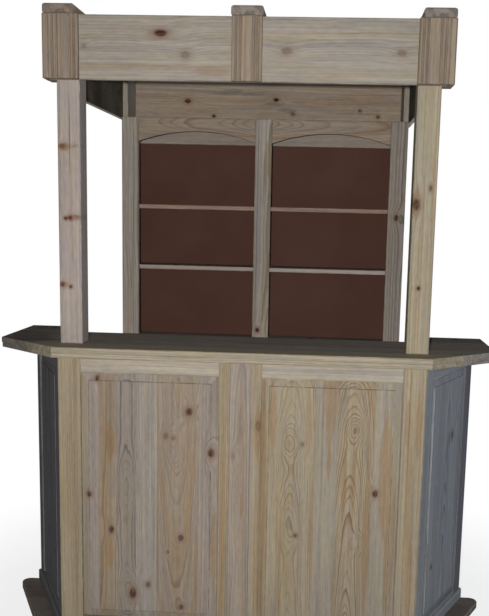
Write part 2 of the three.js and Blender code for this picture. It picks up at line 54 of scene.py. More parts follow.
lens = bpy.data.cameras.new("camera")
lens.sensor_fit = "VERTICAL"
lens.sensor_height = SENSOR
lens.lens = SENSOR * FOCAL_PIXELS / PHOTO_HEIGHT
lens.shift_x = (PHOTO_WIDTH / 2 - CENTRE_PIXEL[0]) / PHOTO_HEIGHT
lens.shift_y = (CENTRE_PIXEL[1] - PHOTO_HEIGHT / 2) / PHOTO_HEIGHT

level_right = CAMERA_AHEAD.cross(Vector((0, 0, 1))).normalized()
level_up = level_right.cross(CAMERA_AHEAD)
right = level_right * math.cos(CAMERA_ROLL) + level_up * math.sin(CAMERA_ROLL)
up = right.cross(CAMERA_AHEAD)
camera = bpy.data.objects.new("camera", lens)
turn = Matrix((right, up, -CAMERA_AHEAD)).transposed()
camera.matrix_world = Matrix.Translation(CAMERA_PLACE) @ turn.to_4x4()
scene.collection.objects.link(camera)
scene.camera = camera
print(f"camera: {lens.lens:.1f} mm lens, {CAMERA_PLACE.length:.2f} m from the middle of the floor")

# %% [markdown]
# ## Light and floor
#
# One small lamp stands close to the left of the lens, so faces that point at us are bright, faces that turn
# away are dark, and a thin crisp shadow lies beside every edge. A cool window light comes from the right, and
# a weak cool fill from all around. The sides and the back get two boxes that stand low behind the bar, where
# they hardly reach the wings and the counter's top. A last box hangs over the canopy. Light linking lets it
# reach only the boards of the roof, as a photographer would flag it off the counter with a card.
#
# The floor goes to plain white away from the bar, through the Light Path node: what the camera sees becomes
# white with distance, while the light that falls on the wood stays as it is.

# %% Hang the lamps
COOL_WHITE = (0.45, 0.66, 1.0)
ROOF_BOARDS = ("roof_bearer", "canopy_fascia", "canopy_rear", "canopy_return", "pilaster", "unit_top")


def softbox(name, place, aim, power, side, colour=(1.0, 1.0, 1.0)):
    """A square area lamp at a place, turned to face a point."""
    lamp = bpy.data.lights.new(name, "AREA")
    lamp.energy = power
    lamp.size = side
    lamp.color = colour
    holder = bpy.data.objects.new(name, lamp)
    facing = (Vector(aim) - Vector(place)).to_track_quat("-Z", "Y")
    holder.matrix_world = Matrix.Translation(place) @ facing.to_matrix().to_4x4()
    scene.collection.objects.link(holder)
    return holder


softbox("key_lamp", (0.19, -3.55, 1.575), (0.05, 0.0, 1.15), 93, 0.05)
softbox("window_softbox", (3.0, -1.2, 1.2), (0.75, -0.25, 0.7), 12.5, 1.2, COOL_WHITE)
for side, x in (("left", -2.6), ("right", 2.6)):
    softbox(f"rear_softbox_{side}", (x, 3.2, 0.8), (0.0, 0.3, 1.0), 115, 1.0)
roof_box = softbox("roof_softbox", (0.0, 0.35, 4.6), (0.0, 0.2, 2.2), 40, 1.2)
roof_lit = bpy.data.collections.new("lit_by_roof_softbox")
for node, board in boards.items():
    if node.startswith(ROOF_BOARDS):
        roof_lit.objects.link(board)
roof_box.light_linking.receiver_collection = roof_lit


# %% Shader helpers
def bare_nodes(owner):
    """Turns on the nodes of a material or a world and empties its tree."""
    owner.use_nodes = True
    owner.node_tree.nodes.clear()
    return owner.node_tree


def wire(tree, kind, sockets=None, **settings):
    """Adds a node to a tree; a value that is another node's socket is linked, any other is set."""
    made = tree.nodes.new(kind)
    for key, value in settings.items():
        setattr(made, key, value)
    for key, value in (sockets or {}).items():
        if isinstance(value, bpy.types.NodeSocket):
            tree.links.new(value, made.inputs[key])
        else:
            made.inputs[key].default_value = value
    return made


def calc(tree, operation, *values):
    """A Math node's result."""
    return wire(tree, "ShaderNodeMath", dict(enumerate(values)), operation=operation).outputs[0]


def add(tree, first, second):
    """Two values added."""
    return calc(tree, "ADD", first, second)


def times(tree, first, second):
    """Two values multiplied."""
    return calc(tree, "MULTIPLY", first, second)


def scaled(tree, value, by, plus):
    """A value multiplied by one value and added to another."""
    return calc(tree, "MULTIPLY_ADD", value, by, plus)


def smooth(tree, value, start, end, low=0.0, high=1.0):
    """Low before start, high after end, and a smooth step between them."""
    span = {"Value": value, "From Min": start, "From Max": end, "To Min": low, "To Max": high}
    return wire(tree, "ShaderNodeMapRange", span, interpolation_type="SMOOTHSTEP").outputs[0]


MIX_FACTOR, MIX_A, MIX_B, MIX_RESULT = 0, 6, 7, 2


def blend(tree, share, first, second, how="MIX"):
    """Two colours mixed by a share."""
    parts = {MIX_FACTOR: share, MIX_A: first, MIX_B: second}
    return wire(tree, "ShaderNodeMix", parts, data_type="RGBA", blend_type=how).outputs[MIX_RESULT]


def srgb(red, green, blue):
    """A colour as it is picked from a picture, 0 to 255, in the linear values that shaders use."""
    picked = np.array((red, green, blue)) / 255
    linear = np.where(picked <= 0.04045, picked / 12.92, ((picked + 0.055) / 1.055) ** 2.4)
    return (*linear.tolist(), 1.0)


print("shader helpers ready")

# %% Lay the floor and the sky
FLOOR_REACH = 40.0
SHADOW_REACH = (0.8, 1.7)
NEAR_WHITENESS = 0.8
FLOOR_GREY = (0.45, 0.45, 0.45, 1.0)
WHITE = (1.0, 1.0, 1.0, 1.0)
FILL_COLOUR = (0.68, 0.84, 1.0, 1.0)
FILL_STRENGTH = 0.065


def seen_directly(tree):
    """1 for rays from the camera, and for those that a shiny or clear surface sends on."""
    path = wire(tree, "ShaderNodeLightPath").outputs
    reflected = calc(tree, "MAXIMUM", path["Is Glossy Ray"], path["Is Transmission Ray"])
    return calc(tree, "MAXIMUM", path["Is Camera Ray"], reflected)


sky = bpy.data.worlds.new("studio")
tree = bare_nodes(sky)
fill = wire(tree, "ShaderNodeBackground", {"Color": FILL_COLOUR, "Strength": FILL_STRENGTH}).outputs[0]
paper = wire(tree, "ShaderNodeBackground", {"Color": WHITE, "Strength": 1.0}).outputs[0]
both = wire(tree, "ShaderNodeMixShader", {0: seen_directly(tree), 1: fill, 2: paper}).outputs[0]
wire(tree, "ShaderNodeOutputWorld", {"Surface": both})
scene.world = sky

floor_mesh = bpy.data.meshes.new("floor")
corners = [(x * FLOOR_REACH, y * FLOOR_REACH, 0.0) for x, y in ((-1, -1), (1, -1), (1, 1), (-1, 1))]
floor_mesh.from_pydata(corners, [], [(0, 1, 2, 3)])
floor = bpy.data.objects.new("floor", floor_mesh)
scene.collection.objects.link(floor)

paint = bpy.data.materials.new("pale_floor")
tree = bare_nodes(paint)
spot = wire(tree, "ShaderNodeTexCoord").outputs["Object"]
away = wire(tree, "ShaderNodeVectorMath", {0: spot}, operation="LENGTH").outputs["Value"]
whitened = smooth(tree, away, *SHADOW_REACH, low=NEAR_WHITENESS)
share = times(tree, whitened, seen_directly(tree))
matt = wire(tree, "ShaderNodeBsdfDiffuse", {"Color": FLOOR_GREY}).outputs[0]
white = wire(tree, "ShaderNodeEmission", {"Color": WHITE, "Strength": 1.0}).outputs[0]
surface = wire(tree, "ShaderNodeMixShader", {0: share, 1: matt, 2: white}).outputs[0]
wire(tree, "ShaderNodeOutputMaterial", {"Surface": surface})
floor_mesh.materials.append(paint)
print("floor and sky laid")

# %% [markdown]
# ## Eased edges
#
# A joiner never leaves a planed edge sharp: a pass of the plane takes it off, and thick boards that hands and
# clothes rub against are rounded further. The frame's boards are loose triangles, so three modifiers do this
# and leave the boards themselves alone: Weld joins the triangles, Decimate dissolves the lines inside flat
# faces, and Bevel rounds every edge that is sharper than a set angle.

# %% Ease the boards
JOIN_REACH = 0.00002
FLAT_ANGLE = math.radians(0.5)
SHARP_ANGLE = math.radians(40)
ARRIS_STEPS = 3
PLANED_ARRIS = 0.0010
FIELD_ARRIS = 0.0004
OTHER_ARRISES = {
    "roof_bearer": 0.0060, "counter_top": 0.0035, "counter_base": 0.0030, "post": 0.0025,
    "pilaster": 0.0020, "canopy": 0.0020, "skirting": 0.0025, "front_panel": FIELD_ARRIS,
    "wing_left_panel": FIELD_ARRIS, "wing_right_panel": FIELD_ARRIS,
}


def ease(node, board):
    """Rounds a board's arrises: by the width listed for the start of its name, or by one pass of a plane."""
    join = board.modifiers.new("joined", "WELD")
    join.merge_threshold = JOIN_REACH
    flat = board.modifiers.new("flat_faces", "DECIMATE")
    flat.decimate_type = "DISSOLVE"
    flat.angle_limit = FLAT_ANGLE
    listed = [width for start, width in OTHER_ARRISES.items() if node.startswith(start)]
    rounded = board.modifiers.new("eased", "BEVEL")
    rounded.width = listed[0] if listed else PLANED_ARRIS
    rounded.segments = ARRIS_STEPS
    rounded.limit_method = "ANGLE"
    rounded.angle_limit = SHARP_ANGLE


for node, board in boards.items():
    if node != "unit_back":
        ease(node, board)
print(f"{len(boards) - 1} boards eased")

# %% [markdown]
# ## Growth rings
#
# A board is a slice of a trunk, and its figure is where the flat cut meets the trunk's rings. So the
# wood here is not painted on: every point of the board is given its distance from the pith, the line
# at the heart of the tree, and that distance is cut into rings. Where the pith runs beside the board the
# rings show as straight lines. Where it lies behind the face and the trunk tapers, they show as the nested
# arches that joiners call cathedrals. On a sawn end they show as arcs, all from one formula.
#
# The group works in a board's own axes: x across the face, y through the thickness and z along the grain.
# Noise is stretched by a scale for each axis, small along the grain, so that its patches lie along it.


# %% Group helpers
def new_group(name, vectors, numbers, colours=()):
    """An empty shader node group: its tree and its named inputs, where numbers have start values."""
    tree = bpy.data.node_groups.new(name, "ShaderNodeTree")
    for kind, names in (("Vector", vectors), ("Float", numbers), ("Color", colours)):
        for socket in names:
            made = tree.interface.new_socket(socket, in_out="INPUT", socket_type=f"NodeSocket{kind}")
            if kind == "Float":
                made.default_value = numbers[socket]
    return tree, wire(tree, "NodeGroupInput").outputs


def hand_out(tree, **values):
    """Ends a group: each value gets an output of its name, which is a number unless it is called Color."""
    for name in values:
        kind = "Color" if name == "Color" else "Float"
        tree.interface.new_socket(name, in_out="OUTPUT", socket_type=f"NodeSocket{kind}")
    wire(tree, "NodeGroupOutput", values)
    print(f"{tree.name}: {len(tree.nodes)} nodes")
    return tree


def split(tree, vector):
    """The x, y and z of a vector."""
    return wire(tree, "ShaderNodeSeparateXYZ", {0: vector}).outputs


def vector_calc(tree, operation, *values):
    """A Vector Math node's result: a number for a length or a dot product, and a vector otherwise."""
    made = wire(tree, "ShaderNodeVectorMath", dict(enumerate(values)), operation=operation)
    return made.outputs["Value" if operation in ("LENGTH", "DOT_PRODUCT") else "Vector"]


SEED_STEP = (7.3, 3.1, 5.7)


def stretched(tree, point, scale, seed, detail=2.0, part=0):
    """Noise on a point stretched by a scale per axis and moved by a seed; part 0 is a number, 1 a colour."""
    moved = vector_calc(tree, "MULTIPLY", point, scale)
    away = wire(tree, "ShaderNodeCombineXYZ", {0: seed, 1: seed, 2: seed}).outputs[0]
    placed = vector_calc(tree, "MULTIPLY_ADD", away, SEED_STEP, moved)
    return wire(tree, "ShaderNodeTexNoise", {"Vector": placed, "Scale": 1.0, "Detail": detail}).outputs[part]


def line_noise(tree, place):
    """Slow noise along one number."""
    settings = {"W": place, "Scale": 1.0, "Detail": 1.0}
    return wire(tree, "ShaderNodeTexNoise", settings, noise_dimensions="1D").outputs[0]


def centred(tree, value, reach):
    """A noise value of 0 to 1 turned into an offset of minus to plus reach."""
    return times(tree, calc(tree, "SUBTRACT", value, 0.5), times(tree, reach, 2.0))


print("group helpers ready")

# %% The ring group: distance from the pith
SWAY_SCALE = (1.6, 1.6, 2.7)
RIPPLE_SCALE = (34.0, 34.0, 9.0)
RIPPLE_REACH = 0.0015
JAG_SCALE = (60.0, 60.0, 45.0)
JAG_REACH = 0.0005
SEASONS_PER_METRE = 58.0
SEASON_REACH = 0.0065

tree, given = new_group("growth_rings", ["Point"], {
    "Pith Across": 0.0, "Pith Depth": 0.05, "Taper": 0.0, "Ring Pitch": 0.006, "Wander": 0.02, "Seed": 0.0,
    "Push": 0.0,
})
point, seed = given["Point"], given["Seed"]
x, y, z = split(tree, point)
slow = stretched(tree, point, SWAY_SCALE, seed, 1.6, part=1)
sway_x, sway_y, _ = wire(tree, "ShaderNodeSeparateColor", {0: slow}).outputs
half_wander = times(tree, given["Wander"], 0.5)
beside = add(tree, calc(tree, "SUBTRACT", x, given["Pith Across"]), centred(tree, sway_x, half_wander))
tilted = scaled(tree, z, given["Taper"], given["Pith Depth"])
behind = add(tree, add(tree, y, tilted), centred(tree, sway_y, given["Wander"]))
squares = add(tree, calc(tree, "POWER", beside, 2.0), calc(tree, "POWER", behind, 2.0))
ripple = centred(tree, stretched(tree, point, RIPPLE_SCALE, seed, 3.5), RIPPLE_REACH)
jag = centred(tree, stretched(tree, point, JAG_SCALE, seed), JAG_REACH)
radius = add(tree, calc(tree, "SQRT", squares), add(tree, ripple, jag))
seasons = scaled(tree, radius, SEASONS_PER_METRE, times(tree, seed, 3.0))
uneven = add(tree, radius, centred(tree, line_noise(tree, seasons), SEASON_REACH))
print(f"distance from the pith: {len(tree.nodes)} nodes")

# %% The ring group: rings, fibre and tint
COARSE_SCALE = (130.0, 130.0, 2.2)
FINE_SCALE = (800.0, 800.0, 16.0)
PATCH_SCALE = (22.0, 22.0, 1.5)
BAND_SCALE = (55.0, 55.0, 2.0)
BLOTCH_SCALE = (115.0, 115.0, 30.0)
TINT_STREAK_SCALE = (75.0, 75.0, 1.6)
TINT_MOTTLE_SCALE = (26.0, 26.0, 9.0)
RAGGED_SHARE = 0.12
LATE_START, LATE_PEAK = 0.48, 0.92
FAINTEST_LINE = 0.25

coarse = stretched(tree, point, COARSE_SCALE, seed)
ragged = add(tree, given["Push"], centred(tree, coarse, RAGGED_SHARE))
count = add(tree, calc(tree, "DIVIDE", uneven, given["Ring Pitch"]), ragged)
within = calc(tree, "FRACT", count)
which = add(tree, calc(tree, "FLOOR", count), times(tree, seed, 17.0))
strength = wire(tree, "ShaderNodeTexWhiteNoise", {"W": which}, noise_dimensions="1D").outputs[0]
rise = smooth(tree, within, LATE_START, LATE_PEAK)
fall = smooth(tree, within, LATE_PEAK, 1.0, 1.0, 0.0)
band = times(tree, times(tree, rise, fall), smooth(tree, strength, 0.0, 1.0, FAINTEST_LINE, 1.0))
decade = line_noise(tree, scaled(tree, count, 0.31, times(tree, seed, 5.0)))
patchy = stretched(tree, point, PATCH_SCALE, seed)
streak = scaled(tree, decade, 0.75, scaled(tree, patchy, 0.65, -0.2))
fine = stretched(tree, point, FINE_SCALE, seed, 3.0)
other_seed = add(tree, seed, 2.0)
bands = stretched(tree, point, BAND_SCALE, other_seed, 3.0)
blotch = stretched(tree, point, BLOTCH_SCALE, other_seed, 3.0)
fine_fibre = scaled(tree, coarse, 0.40, scaled(tree, fine, 0.2, -0.1))
fibre = scaled(tree, bands, 0.30, scaled(tree, blotch, 0.30, fine_fibre))
streaky = stretched(tree, point, TINT_STREAK_SCALE, other_seed, 3.0)
mottle = stretched(tree, point, TINT_MOTTLE_SCALE, other_seed)
tint = smooth(tree, scaled(tree, streaky, 0.6, times(tree, mottle, 0.4)), 0.36, 0.64)
growth_rings = hand_out(tree, Latewood=band, Fibre=fibre, Streak=streak, Tint=tint)

# %% [markdown]
# ## Knots and resin streaks
#
# A knot is the foot of a branch, sawn across. The rings of the trunk swing round it, it is darker and
# denser than the wood beside it, its bark makes a thin dark rim, its heart splits as it dries, and resin
# colours a halo around it. The group measures the distance from a knot's centre in the plane of the face,
# longer along the grain, and hands on four things: how much of the knot is here, how much of its dark rim
# and splits, how much halo, and by how many rings it pushes the grain aside. Knots are chained: each takes
# the values of the one before, so a board can have as many as it needs.
#
# A resin streak is an orange spindle that lies along the grain, with ragged ends. It is chained in the same
# way, and the same spindle in grey is a stain.

# %% The knot group
KNOT_EDGE_SCALE = (70.0, 70.0, 40.0)
SPLIT_SCALE = (110.0, 110.0, 45.0)
RINGS_IN_KNOT = 16.0
SWING_FALL = -0.14

tree, given = new_group("knot", ["Point", "Centre", "Shape"], {
    "Radius": 0.012, "Dark": 1.0, "Push Rings": 1.5, "Core": 0.0, "Heart": 0.0, "Halo": 0.0, "Push": 0.0,
})
point, dark = given["Point"], given["Dark"]
apart = vector_calc(tree, "SUBTRACT", point, given["Centre"])
distance = vector_calc(tree, "LENGTH", vector_calc(tree, "MULTIPLY", apart, given["Shape"]))
rough_edge = centred(tree, stretched(tree, point, KNOT_EDGE_SCALE, 0.0), 0.25)
spread = add(tree, calc(tree, "DIVIDE", distance, given["Radius"]), rough_edge)
body = smooth(tree, spread, 0.50, 1.05, 1.0, 0.0)
ringed_body = scaled(tree, calc(tree, "SINE", times(tree, spread, RINGS_IN_KNOT)), 0.10, 0.90)
core = calc(tree, "MAXIMUM", given["Core"], times(tree, times(tree, body, ringed_body), dark))
splits = smooth(tree, stretched(tree, point, SPLIT_SCALE, 5.0), 0.40, 0.62, 0.1, 1.0)
split_middle = times(tree, smooth(tree, spread, 0.4, 0.95, 1.0, 0.0), splits)
bark = times(tree, smooth(tree, spread, 0.60, 0.82), smooth(tree, spread, 0.82, 1.05, 0.35, 0.0))
darkest = times(tree, calc(tree, "MAXIMUM", split_middle, bark), calc(tree, "POWER", dark, 2.0))
heart = calc(tree, "MAXIMUM", given["Heart"], darkest)
halo = calc(tree, "MAXIMUM", given["Halo"], times(tree, smooth(tree, spread, 0.8, 2.4, 1.0, 0.0), dark))
swing = calc(tree, "EXPONENT", times(tree, calc(tree, "POWER", spread, 2.0), SWING_FALL))
push = scaled(tree, swing, given["Push Rings"], given["Push"])
knot = hand_out(tree, Core=core, Heart=heart, Halo=halo, Push=push)

# %% The streak group
STREAK_EDGE_SCALE = (95.0, 95.0, 5.0)

tree, given = new_group("resin_streak", ["Point", "Centre"], {
    "Half Width": 0.01, "Half Length": 0.1, "Share": 1.0, "Resin": 0.0,
})
aside, _, lengthwise = split(tree, vector_calc(tree, "SUBTRACT", given["Point"], given["Centre"]))
ragged = centred(tree, stretched(tree, given["Point"], STREAK_EDGE_SCALE, 3.0), 0.55)
width_share = calc(tree, "DIVIDE", calc(tree, "ABSOLUTE", aside), given["Half Width"])
length_share = calc(tree, "POWER", calc(tree, "DIVIDE", lengthwise, given["Half Length"]), 2.0)
edge = add(tree, add(tree, width_share, length_share), ragged)
spindle = times(tree, smooth(tree, edge, 0.6, 1.25, 1.0, 0.0), given["Share"])
resin_streak = hand_out(tree, Resin=calc(tree, "MAXIMUM", given["Resin"], spindle))

# %% [markdown]
# ## Colour of planed pine
#
# The pale wood of spring and the darker line of late summer alternate in each ring. Over them lie broad
# streaks, warm where the heartwood begins and grey where the wood has been damp, and the finest detail is
# the fibre left by the plane. Bare pine has no varnish, so it is dull all over, and a little smoother on the
# hard late wood and on the knots.

# %% The pine colour group
RESIN_BROWN = srgb(144, 116, 85)
HALO_RUST = srgb(130, 106, 88)
YELLOW_TINT = (1.03, 1.0, 0.91, 1.0)
ROSE_TINT = (0.97, 0.95, 0.97, 1.0)
DAMP_GREY = srgb(112, 109, 103)
STAIN_GREY = srgb(82, 79, 77)
KNOT_HEART = srgb(44, 32, 29)

tree, given = new_group("pine_colour", [], {
    "Latewood": 0.0, "Fibre": 0.5, "Streak": 0.5, "Tint": 0.5, "Core": 0.0, "Heart": 0.0, "Halo": 0.0,
    "Resin": 0.0, "Stain": 0.0, "Contrast": 0.7, "Warmth": 0.5,
}, ["Pale", "Late", "Warm", "Knot"])
latewood, fibre, core, streak = given["Latewood"], given["Fibre"], given["Core"], given["Streak"]
warm_share = times(tree, smooth(tree, streak, 0.50, 0.72), given["Warmth"])
ground = blend(tree, warm_share, given["Pale"], given["Warm"])
resinous = blend(tree, given["Resin"], ground, RESIN_BROWN)
ringed = blend(tree, times(tree, latewood, given["Contrast"]), resinous, given["Late"])
damp = blend(tree, smooth(tree, streak, 0.26, 0.44, 0.25, 0.0), ringed, DAMP_GREY)
tinted = blend(tree, 1.0, damp, blend(tree, given["Tint"], ROSE_TINT, YELLOW_TINT), "MULTIPLY")
shade = scaled(tree, fibre, 1.25, 0.375)
grey_shade = wire(tree, "ShaderNodeCombineColor", {0: shade, 1: shade, 2: shade}).outputs[0]
fibred = blend(tree, 1.0, tinted, grey_shade, "MULTIPLY")
haloed = blend(tree, times(tree, given["Halo"], 0.75), fibred, HALO_RUST)
stained = blend(tree, given["Stain"], haloed, STAIN_GREY)
cored = blend(tree, core, stained, given["Knot"])
knotted = blend(tree, given["Heart"], cored, KNOT_HEART)
dull = scaled(tree, latewood, -0.10, scaled(tree, fibre, 0.22, 0.62))
smoother = scaled(tree, core, -0.12, dull)
sunk = scaled(tree, core, -0.6, scaled(tree, latewood, 0.5, fibre))
pine_colour = hand_out(tree, Color=knotted, Roughness=smoother, Height=sunk)

# %% [markdown]
# ## Handling, dust and painted shade
#
# A bar is leaned on, knocked and put away in sheds. The arrises, the sharp edges of the boards, go dark in
# spots where hands and boots rub them, and dust greys whatever faces up. The distance from a point to the
# nearest edge of a board's box is the second smallest of its distances to the three pairs of faces, and the
# surface's direction says where dust lies. The same mask with another direction paints shade on the inner
# face of a canopy side board. The small step round a panel's raised field, a rectangle that lies a fixed way
# in from the panel's outline, gets a dark line that is partly dirt and partly painted shade, and so do the
# flutes, which lie a little under the face of a strip. The last group finds the sawn ends, where open pores
# drink up dirt: there the surface looks along the grain.

# %% The arris and dust groups
RUB_SCALE = (60.0, 60.0, 14.0)
DRIFT_SCALE = (7.0, 7.0, 7.0)

tree, given = new_group("worn_arris", ["Point", "Half Size"], {"Width": 0.006})
inside = vector_calc(tree, "ABSOLUTE", given["Point"])
to_x, to_y, to_z = split(tree, vector_calc(tree, "SUBTRACT", given["Half Size"], inside))
nearer = calc(tree, "MINIMUM", to_x, to_y)
farther = calc(tree, "MAXIMUM", to_x, to_y)
to_edge = calc(tree, "MAXIMUM", nearer, calc(tree, "MINIMUM", farther, to_z))
edge_share = calc(tree, "SUBTRACT", 1.0, calc(tree, "DIVIDE", to_edge, given["Width"]))
spots = smooth(tree, stretched(tree, given["Point"], RUB_SCALE, 4.0, 3.0), 0.36, 0.62, 0.25, 1.0)
worn_arris = hand_out(tree, Wear=times(tree, smooth(tree, edge_share, 0.0, 1.0), spots))

# Dust on faces that point a given way; the same mask also places painted shade on inner faces.
tree, given = new_group("facing_dust_and_shade", ["Point", "Facing"], {"Amount": 0.5})
normal = wire(tree, "ShaderNodeNewGeometry").outputs["Normal"]
facing = vector_calc(tree, "DOT_PRODUCT", normal, given["Facing"])
dust_and_shade_patches = smooth(tree, stretched(tree, given["Point"], DRIFT_SCALE, 6.0, 4.0), 0.3, 0.7, 0.80, 1.10)
facing_mask = times(tree, smooth(tree, facing, 0.5, 0.95), dust_and_shade_patches)
facing_dust_and_shade = hand_out(tree, Dust=times(tree, facing_mask, given["Amount"]))

# %% The step, flute and end grain groups
STEP_SCALE = (25.0, 25.0, 25.0)
FLUTE_SCALE = (60.0, 60.0, 12.0)
PORE_SCALE = (60.0, 60.0, 60.0)

# Dirt and painted shade: a dark line in the step round a raised field.
tree, given = new_group("field_step_dirt_and_shade", ["Point", "Half Field"], {"Width": 0.0025})
inside = vector_calc(tree, "ABSOLUTE", given["Point"])
out_x, _, out_z = split(tree, vector_calc(tree, "SUBTRACT", inside, given["Half Field"]))
from_step = calc(tree, "ABSOLUTE", calc(tree, "MAXIMUM", out_x, out_z))
near_step = smooth(tree, calc(tree, "DIVIDE", from_step, given["Width"]), 0.3, 1.0, 1.0, 0.0)
step_dirt_and_shade = smooth(tree, stretched(tree, given["Point"], STEP_SCALE, 8.0, 3.0), 0.35, 0.65, 0.08, 0.55)
field_step_dirt_and_shade = hand_out(tree, Line=times(tree, near_step, step_dirt_and_shade))

# Dirt and painted shade: the bottoms of the flutes go darker.
tree, given = new_group("flute_dirt_and_shade", ["Point"], {"Half Thickness": 0.01, "Depth": 0.004})
through = calc(tree, "ABSOLUTE", split(tree, given["Point"])[1])
below = calc(tree, "DIVIDE", calc(tree, "SUBTRACT", given["Half Thickness"], through), given["Depth"])
in_flute = times(tree, smooth(tree, below, 0.1, 0.7), smooth(tree, below, 1.05, 1.2, 1.0, 0.0))
flute_patches = smooth(tree, stretched(tree, given["Point"], FLUTE_SCALE, 9.0, 3.0), 0.3, 0.7, 0.4, 1.0)
flute_dirt_and_shade = hand_out(tree, Dirt=times(tree, in_flute, flute_patches))

tree, given = new_group("sawn_end", ["Point", "Along"], {})
normal = wire(tree, "ShaderNodeNewGeometry").outputs["Normal"]
either_end = calc(tree, "ABSOLUTE", vector_calc(tree, "DOT_PRODUCT", normal, given["Along"]))
soaked = smooth(tree, stretched(tree, given["Point"], PORE_SCALE, 7.0, 4.0), 0.35, 0.65, 0.15, 0.75)
sawn_end = hand_out(tree, End=times(tree, smooth(tree, either_end, 0.35, 0.9), soaked))

# %% [markdown]
# ## One material per board
#
# No two boards come from the same place in the tree, so every board gets its own material with its own pith,
# ring pitch, knots and colours. A Mapping node turns the pattern into the board's axes and centres it
# on the board. A wide panel is glued up from staves, and each stave is another piece of tree: colour
# ramps with hard steps, read across the face, hand out each stave's pith, depth, seed, contrast and colours.

# %% Staves
PITH_REACH = 0.5
STAVE_DEPTH = 0.2
STAVE_SEED = 9.0
STAVE_TAPER = 0.2
GOLDEN_SHARE = 0.618


def hard_steps(tree, place, starts, values):
    """A colour ramp without blending: from each start on it gives the value listed beside it."""
    made = wire(tree, "ShaderNodeValToRGB", {0: place})
    ramp = made.color_ramp
    ramp.interpolation = "CONSTANT"
    while len(ramp.elements) < len(values):
        ramp.elements.new(1.0)
    for element, start, value in zip(ramp.elements, starts, values):
        element.position = start
        element.color = value
    return made.outputs


def stave_values(tree, point, left, seed, staves):
    """Reads a board's staves, each (width, pith from its own middle, depth, taper, contrast, colours).

    Widths, piths and depths are in mm, tapers in mm per metre. One ramp holds pith, depth, seed and contrast
    as shares of 0 to 1, three more hold the colours, and the first of these has the taper in its alpha.
    """
    widths, offsets, depths, tapers = np.array([stave[:4] for stave in staves]).T / 1000
    starts = np.cumsum(widths) - widths
    piths = left + starts + widths / 2 + offsets
    seeds = (seed + GOLDEN_SHARE * np.arange(len(staves))) % 1.0
    contrasts = [stave[4] for stave in staves]
    shares = np.stack((piths / PITH_REACH / 2 + 0.5, depths / STAVE_DEPTH, seeds, contrasts), axis=1)
    tilts = (tapers / STAVE_TAPER / 2 + 0.5).tolist()

    across = calc(tree, "SUBTRACT", split(tree, point)[0], left)
    place = calc(tree, "DIVIDE", across, float(widths.sum()))
    positions = (starts / widths.sum()).tolist()
    steps = hard_steps(tree, place, positions, shares.tolist())
    pith, depth, which = wire(tree, "ShaderNodeSeparateColor", {0: steps[0]}).outputs
    colours = []
    for part in range(3):
        painted = [(*stave[5][part][:3], tilt) for stave, tilt in zip(staves, tilts)]
        colours.append(hard_steps(tree, place, positions, painted))
    growth = {
        "Pith Across": times(tree, calc(tree, "SUBTRACT", pith, 0.5), 2 * PITH_REACH),
        "Pith Depth": times(tree, depth, STAVE_DEPTH),
        "Taper": times(tree, calc(tree, "SUBTRACT", colours[0][1], 0.5), 2 * STAVE_TAPER),
        "Seed": times(tree, which, STAVE_SEED),
    }
    return growth, steps[1], [colour[0] for colour in colours]


print("staves can be glued up")


# %% Knots and marks on a face
def on_face(node):
    """A way to name places on a board's front face, by their millimetres across and up."""
    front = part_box(node)[0].y
    return lambda across, up: (across / 1000, front, up / 1000)


def knot_at(place, radius, dark=1.0, stretch=1.0, push_rings=-1.5):
    """A knot: its place, its radius in mm, how dark it is, its stretch along the grain and its push in rings.

    A knot with no darkness lies just under the face: only the rings show it, as nested ovals.
    """
    return (place, radius / 1000, dark, stretch, push_rings)


def knots_on(face, *rows):
    """Knots on a face: each row is across and up in mm, and then what knot_at takes after a place."""
    return [knot_at(face(across, up), *rest) for across, up, *rest in rows]


def marks_on(face, *rows):
    """Streaks or stains on a face: each row is across, up, half width and half length in mm, and a share."""
    return [(face(across, up), wide / 1000, long / 1000, share) for across, up, wide, long, share in rows]


print("knots and marks can be placed")

# %% The board material
X, Y, Z = Vector((1, 0, 0)), Vector((0, 1, 0)), Vector((0, 0, 1))
PLANED_RELIEF = (0.5, 0.0004)
# Brown for worn arrises, and for the dark lines in field steps and flutes, which are dirt and painted shade.
WEAR_AND_SHADE_BROWN = srgb(84, 72, 60)
DUST_GREY = srgb(66, 61, 59)
# Painted shade: the brown that darkens a canopy side board's inner face.
INNER_SHADE_BROWN = srgb(70, 62, 50)
END_BROWN = srgb(88, 78, 68)
WEAR_SHARE = 0.45
FLUTE_SHARE = 0.35
# How much of that painted shade a shaded face gets.
INNER_SHADE_SHARE = 0.9
ALONG_KNOT = 0.86


def use_group(tree, group, sockets):
    """Places a node group in a tree with its own values and returns its outputs."""
    return wire(tree, "ShaderNodeGroup", sockets, node_tree=group).outputs


def board_space(node, along, across):
    """The turn into a board's own axes, with the centre and half size of its box along them."""
    axes = Matrix((across, along.cross(across), along))
    mesh = boards[node].data
    places = np.empty(len(mesh.vertices) * 3, dtype=np.float32)
    mesh.vertices.foreach_get("co", places)
    turned = places.reshape(-1, 3) @ np.array(axes).T
    low, high = turned.min(axis=0), turned.max(axis=0)
    return axes, Vector((low + high) / 2), Vector((high - low) / 2)


def surface_of(node, material, colour, roughness, height, relief, shine):
    """Ends a board's only material with a Principled surface; its relief is a strength and a depth."""
    tree = material.node_tree
    bumps = {"Strength": relief[0], "Distance": relief[1], "Height": height}
    bump = wire(tree, "ShaderNodeBump", bumps).outputs[0]
    shader = wire(tree, "ShaderNodeBsdfPrincipled", {
        "Base Color": colour, "Roughness": roughness, "Normal": bump, "Specular IOR Level": shine,
    }).outputs[0]
    wire(tree, "ShaderNodeOutputMaterial", {"Surface": shader})
    slots = boards[node].data.materials
    slots.clear()
    slots.append(material)


